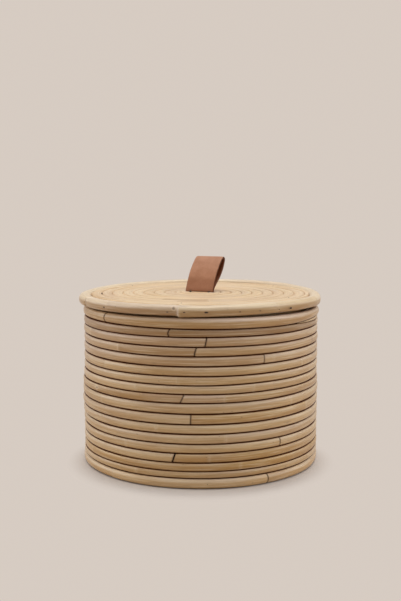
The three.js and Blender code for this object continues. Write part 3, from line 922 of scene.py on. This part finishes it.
# %% A flat coil
COIL_START = 112
COIL_PITCH = 0.01084
TURN_GAP = 0.00002
COIL_TIP = 0.0009
TIP_SPARE = 1.2
TURN_STEP = 0.002
SQUARE_COIL = 7
COIL_RISE = (0, 0.0003)
KNOT_EVERY = 0.21
KNOT_SPREAD = (0.7, 1.3)
LEAST_AROUND = 0.05
END_CLEAR = 0.1
STAIN_CLEAR = 0.03
STAIN_HUE = 0.4


def coil(node, eye, border, body, slot, seed, stains=()):
    """A flat coil from the radius of its eye to its border, which is a radius for each bearing.

    stains are darker internodes: their first and last number of turns, and their tone.
    """
    low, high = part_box(node)
    tall = high.z - low.z

    def path(turn):
        bearing = math.radians(COIL_START) - 2 * math.pi * turn
        edge = border(bearing)
        inner = eye + COIL_PITCH * (turn - 1) + TURN_GAP
        outer = eye + COIL_PITCH * turn
        inner = eye if inner < eye + COIL_TIP else inner
        outer = edge if outer > edge - COIL_TIP else outer
        return bearing, (inner + outer) / 2, (low.z + high.z) / 2, outer - inner, tall

    first = COIL_TIP / COIL_PITCH
    last = first
    while path(last)[3] > COIL_TIP * TIP_SPARE or last < 1:
        last += TURN_STEP
    draw = random.Random(seed)
    knots = []
    turn = first
    while turn < last:
        around = max(2 * math.pi * (eye + COIL_PITCH * (turn - 0.5)), LEAST_AROUND)
        turn += KNOT_EVERY * draw.uniform(*KNOT_SPREAD) / around
        knots.append(turn)
    knots = [knot for knot in knots if knot < last - END_CLEAR]
    for start, stop, _ in stains:
        clear = [knot for knot in knots if not start - STAIN_CLEAR < knot < stop + STAIN_CLEAR]
        knots = clear + [start, stop]
    starts = [first] + sorted(knots)
    shades = plain_shades(draw, len(starts))
    for start, _, tone in stains:
        shades[starts.index(start)] = (tone, STAIN_HUE)
    bar = wind(path, first, last, SQUARE_COIL, knots, seed=seed, shades=shades, rise=COIL_RISE,
               touches="beside")
    return piece(node, [bar], body, slot, [node])


print("coil pitch", COIL_PITCH)

# %% The two coils
LID_SEED = 11
FLOOR_SEED = 12
# first and last number of turns of a dark internode, and its tone
LID_STAINS = ((5.234, 5.33, 1.3), (6.236, 6.29, 1.1))
EYE_RADIUS = 0.0209
FLOOR_EYE = 0.004
BORDER_GAP = 0.00003
BACK_GAP = 0.0008
BACK_BEARING = 255
BACK_POWER = 6
floor_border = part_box("floor_coil")[1].x


def lid_border(bearing):
    """The outer edge of the lid's coil, which leaves a wider gap at the back left."""
    left_back = max(0, math.cos(bearing - math.radians(BACK_BEARING))) ** BACK_POWER
    return rim_inside(bearing) - BORDER_GAP - BACK_GAP * left_back


lid_coil = coil("lid_coil", EYE_RADIUS, lid_border, "lid", "cane_lid", LID_SEED, LID_STAINS)
floor_coil = coil("floor_coil", FLOOR_EYE, lambda bearing: floor_border, "basket", "cane_inside", FLOOR_SEED)
print("lid coil faces:", len(lid_coil.data.polygons))
print("floor coil faces:", len(floor_coil.data.polygons))

# %% [markdown]
# ## The eye of the lid
#
# The coil leaves a round eye, where the strap goes through. A short ring of cane and
# the two halves of a core fill it. The slot cuts the core in two and notches the ring,
# so the core is a disc cut by two planes and the ring is narrow at two places.

# %% The eye
EYE_INNER = 0.01006
EYE_GAP = 0.0001
EYE_PROUD = 0.0004
SLOT_HALF = 0.00245
SLOT_REACH = 0.01605
RING_FIRST = 0.501
RING_LAST = 1.499
RING_SEED = 21
CORE_SIDES = 48
CORE_EDGE = 0.0005
CORE_EDGE_STEPS = 3
CORE_SIDE = 0.4
CORE_TONE = 0.6
# how far apart in the fibre's pattern the two halves of the core are cut
CORE_APART = 5

eye_low, eye_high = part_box("eye_ring")
eye_high.z += EYE_PROUD
eye_outer = EYE_RADIUS - EYE_GAP


def eye_path(turn):
    """The ring round the eye, which is narrow at both ends of the slot."""
    bearing = 2 * math.pi * turn
    inner = SLOT_REACH if abs(math.cos(bearing)) * EYE_INNER < SLOT_HALF else EYE_INNER
    tall = eye_high.z - eye_low.z
    return bearing, (inner + eye_outer) / 2, eye_low.z + tall / 2, eye_outer - inner, tall


ring = wind(eye_path, RING_FIRST, RING_LAST, SQUARE_COIL, seed=RING_SEED, touches="beside")
piece("eye_ring", [ring], "lid", "cane_lid", ["eye_ring"])


def eye_core(name, sign):
    """Half of the core: a soft-edged disc, cut beside the slot, with fibres of its own."""
    core = bmesh.new()
    bmesh.ops.create_circle(core, cap_ends=True, segments=CORE_SIDES, radius=EYE_INNER - EYE_GAP)
    low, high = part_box(name)
    tall = high.z - low.z + EYE_PROUD
    lifted = bmesh.ops.extrude_face_region(core, geom=core.faces[:])
    top = [item for item in lifted["geom"] if isinstance(item, bmesh.types.BMVert)]
    bmesh.ops.translate(core, verts=top, vec=(0, 0, tall))
    bmesh.ops.translate(core, verts=core.verts, vec=(0, 0, low.z))
    bmesh.ops.bisect_plane(core, geom=core.verts[:] + core.edges[:] + core.faces[:],
                           plane_co=(0, sign * SLOT_HALF, 0), plane_no=(0, sign, 0), clear_inner=True)
    cut = [edge for edge in core.edges if edge.is_boundary]
    bmesh.ops.holes_fill(core, edges=cut, sides=0)
    bmesh.ops.bevel(core, geom=core.edges[:], offset=CORE_EDGE, offset_type="OFFSET", affect="EDGES",
                    segments=CORE_EDGE_STEPS, profile=0.5, material=-1)
    straight, labels = label_layers(core)
    values = PLAIN_LABELS | {"side": CORE_SIDE, "face": 0, "hidden": 0, "tone": CORE_TONE}
    for vert in core.verts:
        vert[straight] = (vert.co.x + CORE_APART * sign, vert.co.y, vert.co.z - low.z)
        for word, layer in labels.items():
            vert[layer] = values[word]
    return piece(name, [core], "lid", "cane_lid", [name])


eye_core("eye_core_front", -1)
eye_core("eye_core_back", 1)
print("eye made, slot half width", SLOT_HALF)

# %% [markdown]
# ## The rim of the lid
#
# Two lengths of the thickest cane meet at two joints. At the right one the swollen
# end of the longer cane covers the other end. At the left one the shorter cane is
# rounded off like a fingertip. Beside the right joint the shorter cane has a small pit.

# %% The rim
RIM_GAP = 0.00002
SQUARE_RIM = 2.8
SQUARE_SHORT = 3
# what share of its size an end loses, and over what length
BLUNT_END = (0.75, 0.0048)
MET_END = (0.15, 0.0016)
WORN_END = (0.5, 0.003)


def rim_cane(node, start, finish, knots, seed, shades, pits, squareness, first_end, last_end):
    """One cane of the rim, between two joints that are given as bearings in degrees."""
    sweep = (finish - start) % 360

    def path(turn):
        degrees = start + 360 * turn
        return math.radians(degrees), *rim_section(degrees)

    half_gap = RIM_GAP / (2 * math.pi * rim_high.x) / 2
    turns = sorted(((knot - start) % 360) / 360 for knot in knots)
    bar = wind(path, half_gap, sweep / 360 - half_gap, squareness, turns, seed=seed, shades=shades,
               pits=[((pit - start) % 360) / 360 for pit in pits], touches="inside",
               first_end=first_end, last_end=last_end)
    return piece(node, [bar], "lid", "cane_rim", [node])


rim_cane("lid_rim_long", RIM_RIGHT_JOINT, RIM_LEFT_JOINT, knots=(12.8, 57.5, 92, 160, 236, 300), seed=31,
         shades=[(0, 0.5), (0.3, 0.4), (0.5, 0.3), (0.4, 0.5), (0.5, 0.5), (0.3, 0.5), (0.5, 0.6)],
         pits=(), squareness=SQUARE_RIM, first_end=MET_END, last_end=WORN_END)
rim_cane("lid_rim_short", RIM_LEFT_JOINT, RIM_RIGHT_JOINT, knots=(336.4,), seed=33,
         shades=[(0.4, 0.75), (0.45, 0.9)], pits=(10.6,), squareness=SQUARE_SHORT,
         first_end=BLUNT_END, last_end=MET_END)
print("rim joints at", RIM_LEFT_JOINT, "and", RIM_RIGHT_JOINT, "degrees")

# %% [markdown]
# ## The locating hoop
#
# It hangs under the lid and drops inside the mouth, so the lid can't slide off. It
# shows only when the lid is lifted, and it is a plain cane with a butt joint.

# %% The locating hoop
LOCATOR_JOINT = 95
LOCATOR_FIRST = 0.0005
LOCATOR_KNOTS = (0.1, 0.38, 0.7)
LOCATOR_SEED = 41
locator_low, locator_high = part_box("locating_hoop")


def locator_path(turn):
    """The path of the locating hoop, which is as wide as it is tall."""
    tall = locator_high.z - locator_low.z
    bearing = math.radians(LOCATOR_JOINT) + 2 * math.pi * turn
    return bearing, locator_high.x - tall / 2, (locator_low.z + locator_high.z) / 2, tall, tall


locator = wind(locator_path, LOCATOR_FIRST, 1 - LOCATOR_FIRST, SQUARE_THICK, LOCATOR_KNOTS,
               seed=LOCATOR_SEED)
piece("locating_hoop", [locator], "lid", "cane_inside", ["locating_hoop"])
print("locating hoop top at", round(locator_high.z, 4))

# %% [markdown]
# ## The leather finish
#
# Smooth tan leather: a fine pebble from cells on the strap's own straight length, soft
# clouds where it was handled, and a darker cut edge along both sides. The inside of
# the loop is painted dark brown, partly as the rough side of the hide and partly as
# painted shade, and the strap's foot has painted shade and a painted shadow line.

# %% The leather finish
CLOUD_SCALE = (70, 70, 70)
GRAIN_SCALE = (1400, 1400, 1400)
CELL_SCALE = (1500, 1500, 1500)
CLOUD_FADE = (0.3, 0.7)
# the inside of the loop is painted dark: partly the rough side of the hide, partly painted shade
FLESH_AND_SHADE_TINT = (-0.5, -0.9, 0.95, srgb(104, 46, 6))
# painted shade darkens the strap towards the lid, and a painted shadow line lies along its foot
FOOT_SHADE_TINT = (0.0165, 0.0105, 0.45, srgb(138, 86, 58))
FOOT_SHADOW_LINE_TINT = (0.0016, 0, 0.8, srgb(84, 44, 26))
GRAIN_TINT = (0.45, 0.75, 0.25, srgb(134, 88, 62))
CUT_EDGE_TINT = (0.97, 1, 0.95, srgb(92, 46, 16))
HIDE_ROUGHNESS = 0.45
CLOUD_ROUGHNESS = 0.15
GRAIN_RELIEF = 0.5
CELL_RELIEF = 0.5
HIDE_RELIEF = 0.00012
HIDE_SPECULAR = 0.2

leather_finish = bpy.data.materials.new("leather")
hide = Recipe(leather_finish)
hide_place = hide.attribute("straight", "Vector")
hide_cloud = hide.noise(hide.scaled(hide_place, CLOUD_SCALE), 3, 0.6)
hide_grain = hide.noise(hide.scaled(hide_place, GRAIN_SCALE), 2, 0.6)
hide_cells = hide.add("ShaderNodeTexVoronoi", {"feature": "F1"},
                      {"Vector": hide.scaled(hide_place, CELL_SCALE), "Scale": 1}, "Distance")
hide_side, hide_face, hide_foot = [hide.attribute(word) for word in ("side", "face", "knot")]
hide_edge = hide_side.math("ABSOLUTE", hide_side)
hide_color = hide.mix(hide.fade(hide_cloud, *CLOUD_FADE), srgb(192, 140, 110), srgb(178, 126, 96))
hide_color = hide.tint(hide_color, hide_face, FLESH_AND_SHADE_TINT)
hide_color = hide.tint(hide_color, hide_foot, FOOT_SHADE_TINT)
hide_color = hide.tint(hide_color, hide_foot, FOOT_SHADOW_LINE_TINT)
hide_color = hide.tint(hide_color, hide_grain, GRAIN_TINT)
hide_color = hide.tint(hide_color, hide_edge, CUT_EDGE_TINT)
hide_roughness = hide_cloud * CLOUD_ROUGHNESS + HIDE_ROUGHNESS
hide_relief = hide_grain * GRAIN_RELIEF - hide_cells * CELL_RELIEF
glossy_surface(hide, hide_color, hide_roughness, hide_relief, HIDE_RELIEF, HIDE_SPECULAR)
FINISHES["leather"] = leather_finish
print("leather ready")

# %% [markdown]
# ## The leather pull
#
# One band of leather goes up through the slot, round the loop and down again, and
# both tails fold outwards under the lid. It is bent from a flat bar in the same way
# as the canes, along a smooth line in the plane across its width. Its line passes
# the height of the pull's joint, and it is attached to no body.

# %% The line of the band
STRAP_THICK = 0.002
FOLD_ANGLES = (0, 30, 60, 90)
CORNER_CUT = 0.25
PULL_LEAN = 0.032
PULL_RISE = 0.0324
LINE_SHARES = [
    # shares of the lean and of the rise, from the front foot to the back foot
    (0.03, 0.11), (0.1, 0.26), (0.28, 0.54), (0.55, 0.81), (0.76, 0.96), (0.89, 1),
    (0.99, 0.95), (0.97, 0.86), (0.84, 0.62), (0.58, 0.38), (0.3, 0.21), (0.14, 0.1),
]

hinge_height = next(joint for joint in frame["joints"] if joint["name"] == "pull_tilt")["pos_m"][2]
lid_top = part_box("lid_coil")[1].z
tail_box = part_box("strap_tail_back")
tail_end = tail_box[1].y
tail_middle = tail_box[0].z + STRAP_THICK / 2
sheet_middle = tail_box[0].y + STRAP_THICK / 2
fold_radius = STRAP_THICK / 2


def strap_line():
    """The middle line of the band as points across the box, from tail to tail."""
    fold = [(sheet_middle + fold_radius * (1 - math.sin(turn)),
             tail_middle + fold_radius * (1 - math.cos(turn))) for turn in map(math.radians, FOLD_ANGLES)]
    back = [(tail_end, tail_middle), ((tail_end + fold[0][0]) / 2, tail_middle), *fold,
            (sheet_middle, (tail_middle + hinge_height) / 2), (sheet_middle, hinge_height)]
    loop = [(lean * PULL_LEAN, hinge_height + rise * PULL_RISE) for lean, rise in LINE_SHARES]
    front = [(-y, z) for y, z in back]
    return [Vector((0, y, z)) for y, z in front + loop + back[::-1]]


def smooth_line(points, rounds=4):
    """Rounds a line by cutting its corners again and again, with its ends kept."""
    for _ in range(rounds):
        cut = [points[0]]
        for here, ahead in zip(points, points[1:]):
            cut += [here.lerp(ahead, CORNER_CUT), here.lerp(ahead, 1 - CORNER_CUT)]
        points = cut + [points[-1]]
    return points


print("the fold of a tail is at height", round(tail_middle, 4))

# %% The pull
STRAP_WIDTH = 0.0304
STRAP_SIDES = 48
STRAP_STEP = 0.0006
SQUARE_STRAP = 8
STRAP_ASIDE = -0.0009
ASIDE_HEIGHT = 0.03
END_THINNER = 0.25
END_THINNING = 0.0004


def strap_stations():
    """The stations of the band. Its label knot says how far it is from the lid's top."""
    line = smooth_line(strap_line())
    lengths = [0]
    for here, ahead in zip(line, line[1:]):
        lengths.append(lengths[-1] + (ahead - here).length)
    count = math.ceil(lengths[-1] / STRAP_STEP)
    marks = [lengths[-1] * step / count for step in range(count + 1)]
    coords = np.array([tuple(point) for point in line])
    spots = [Vector([float(np.interp(mark, lengths, coords[:, axis])) for axis in range(3)])
             for mark in marks]
    stations = []
    for at, mark in enumerate(marks):
        ahead = spots[min(at + 1, count)] - spots[max(at - 1, 0)]
        to_end = min(mark, lengths[-1] - mark)
        rounding = 1 - END_THINNER * math.exp(-to_end / END_THINNING)
        height_over_lid = spots[at].z - lid_top
        aside = STRAP_ASIDE * min(max(1 - height_over_lid / ASIDE_HEIGHT, 0), 1)
        stations.append(PLAIN_LABELS | {
            "along": mark,
            "spot": spots[at] + Vector((aside, 0, 0)),
            "out": Vector((0, -ahead.z, ahead.y)).normalized(),
            "wide": STRAP_THICK * rounding,
            "tall": STRAP_WIDTH,
            "knot": abs(height_over_lid),
            "end": min(to_end, CLAMP),
        })
    return stations


def on_strap(station, x, y):
    """The place of a vertex of the strap: x goes through the leather and y across it."""
    across = Vector((y * station["tall"] / 2, 0, 0))
    return station["spot"] + across + station["out"] * (x * station["wide"] / 2)


stations = strap_stations()
band = bend(straight_bar(STRAP_SIDES, SQUARE_STRAP, len(stations)), stations, on_strap)
pull = piece("leather_pull", [band], None, "leather", ["pull_loop", "strap_tail_front", "strap_tail_back"])
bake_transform(pull)
print("band length", round(stations[-1]["along"], 4), "faces", len(pull.data.polygons))

# %% [markdown]
# ## Brads and tacks
#
# The brads are short wire nails that were driven in flush and have gone brown. A
# head could be left to a dark spot in the cane's finish, but a low dished head
# catches the light as a real one does. Each is a lathed shape from its own profile.
# In front the heads differ in size, and some are drawn out along the rim. The tacks
# hold the tails of the strap from below, and two small pins stand at its foot.

# %% The steel finish
RUST_SCALE = (900, 900, 900)
RUST_FADE = (0.35, 0.65)
STEEL_ROUGHNESS = 0.35
RUST_ROUGHNESS = 0.3
STEEL_RELIEF = 0.00005

steel_finish = bpy.data.materials.new("brad_steel")
steel = Recipe(steel_finish)
steel_place = steel.add("ShaderNodeTexCoord", {}, {}, "Object")
steel_rust = steel.noise(steel.scaled(steel_place, RUST_SCALE), 3, 0.6)
steel_color = steel.mix(steel.fade(steel_rust, *RUST_FADE), srgb(74, 56, 44), srgb(44, 28, 18))
steel_roughness = steel_rust * RUST_ROUGHNESS + STEEL_ROUGHNESS
glossy_surface(steel, steel_color, steel_roughness, steel_rust, STEEL_RELIEF)
FINISHES["brad_steel"] = steel_finish
print("steel ready")

# %% A lathed nail
BRAD_HEAD = 0.0014
BRAD_LENGTH = 0.012
BRAD_SINK = 0.0006
BRAD_PROUD = 0.00025
LATHE_STEPS = 20
SAME_PLACE = 1e-6
UP = Vector((0, 0, 1))


def lathed(profile):
    """A closed solid from a profile of radii and heights that starts and ends on its axis."""
    shape = bmesh.new()
    corners = [shape.verts.new((radius, 0, height)) for radius, height in profile]
    edges = [shape.edges.new(pair) for pair in zip(corners, corners[1:])]
    bmesh.ops.spin(shape, geom=corners + edges, cent=(0, 0, 0), axis=(0, 0, 1), dvec=(0, 0, 0),
                   angle=2 * math.pi, steps=LATHE_STEPS, use_merge=True)
    bmesh.ops.remove_doubles(shape, verts=shape.verts, dist=SAME_PLACE)
    return shape


def brad(head):
    """A wire nail with its head's rim at height 0 and its point below."""
    dish = head * 0.12
    return lathed([
        (0, -dish), (head * 0.3, -dish * 0.6), (head * 0.42, 0), (head * 0.5, -dish * 0.5),
        (head * 0.5, -BRAD_SINK), (head * 0.28, -BRAD_SINK * 1.5), (head * 0.28, -BRAD_LENGTH * 0.85),
        (0, -BRAD_LENGTH),
    ])


def tack(head, tall):
    """A tack with its wide head below and its point up in the eye."""
    return lathed([
        (0, 0), (head * 0.3, tall * 0.02), (head * 0.46, tall * 0.06), (head * 0.5, tall * 0.09),
        (head * 0.47, tall * 0.1), (head * 0.14, tall * 0.1), (head * 0.12, tall * 0.85), (0, tall),
    ])


def put(shape, at, direction):
    """Turns a shape's +Z to a direction and moves it to a place."""
    turn = UP.rotation_difference(direction)
    bmesh.ops.rotate(shape, verts=shape.verts, cent=(0, 0, 0), matrix=turn.to_matrix())
    bmesh.ops.translate(shape, verts=shape.verts, vec=at)
    return shape


print("brads are", BRAD_LENGTH, "m long")


# %% Places of the brads
def middle(node):
    """The middle of a node's box."""
    low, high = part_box(node)
    return (low + high) / 2


def outer_surface(radius_middle, size, squareness, height):
    """The radius of a cane's outer face at a height from its middle."""
    share = min(abs(height) / (size / 2), 1)
    return radius_middle + size / 2 * (1 - share ** squareness) ** (1 / squareness)


def on_side(node, cane, squareness):
    """Where a brad's head lies on the outer face of a thick cane, and which way it faces."""
    center = middle(node)
    low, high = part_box(cane)
    size = high.z - low.z
    surface = outer_surface(high.x - size / 2, size, squareness, center.z - (low.z + high.z) / 2)
    out = Vector((center.x, center.y, 0)).normalized()
    return out * (surface + BRAD_PROUD) + Vector((0, 0, center.z)), out


def on_rim(node):
    return on_side(node, "lid_rim_long", SQUARE_RIM)


def on_foot(node):
    return on_side(node, "foot_hoop", SQUARE_THICK)


def on_lid(node):
    center = middle(node)
    return Vector((center.x, center.y, lid_top + BRAD_PROUD / 2)), UP


print("a rim brad's head is at", [round(value, 4) for value in on_rim("rim_brad_1")[0]])

# %% Brads, tacks and pins
RIM_HEADS = {
    # size of the head, and how far it is drawn out along the rim
    1: (0.0008, 3), 2: (0.0014, 2.6), 3: (0.0007, 2), 4: (0.0006, 3), 5: (0.0006, 1), 6: (0.0018, 1.2),
    11: (0.0008, 3), 12: (0.0007, 3),
}
FOOT_HEADS = {number: (0.0006, 1) for number in range(1, 5)}
# places beside the front foot of the strap, and half the profile of a pin
PINS = [(-0.0098, -0.0037), (0.0108, -0.0037)]
PIN_PROFILE = [(0, 0.0014), (0.0007, 0.0012), (0.0012, 0.0008), (0.0014, 0), (0.0004, -0.0002),
               (0.0004, -0.006), (0, -0.008)]


def add_brads(prefix, count, body, place, heads):
    """A row of numbered brads. heads gives a size and a stretch to those that differ."""
    for number in range(1, count + 1):
        node = f"{prefix}_{number}"
        at, direction = place(node)
        head, stretch = heads.get(number, (BRAD_HEAD, 1))
        shape = brad(head)
        across = Vector((-direction.y, direction.x, 0))
        for vert in shape.verts:
            vert.co += across * (vert.co.dot(across) * (stretch - 1))
        piece(node, [put(shape, at, direction)], body, "brad_steel", [node])


add_brads("rim_brad", 12, "lid", on_rim, RIM_HEADS)
add_brads("lid_brad", 6, "lid", on_lid, {})
add_brads("floor_brad", 4, "basket", on_foot, FOOT_HEADS)

for number in range(1, 5):
    node = f"strap_tack_{number}"
    low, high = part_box(node)
    shape = tack(high.x - low.x, high.z - low.z)
    center = middle(node)
    piece(node, [put(shape, Vector((center.x, center.y, low.z)), UP)], "lid", "brad_steel", [node])
for number, (x, y) in enumerate(PINS, 1):
    pin = put(lathed(PIN_PROFILE), Vector((x, y, lid_top + BRAD_PROUD)), UP)
    piece(f"pull_pin_{number}", [pin], "lid", "brad_steel", [])
print("brads, tacks and pins made")
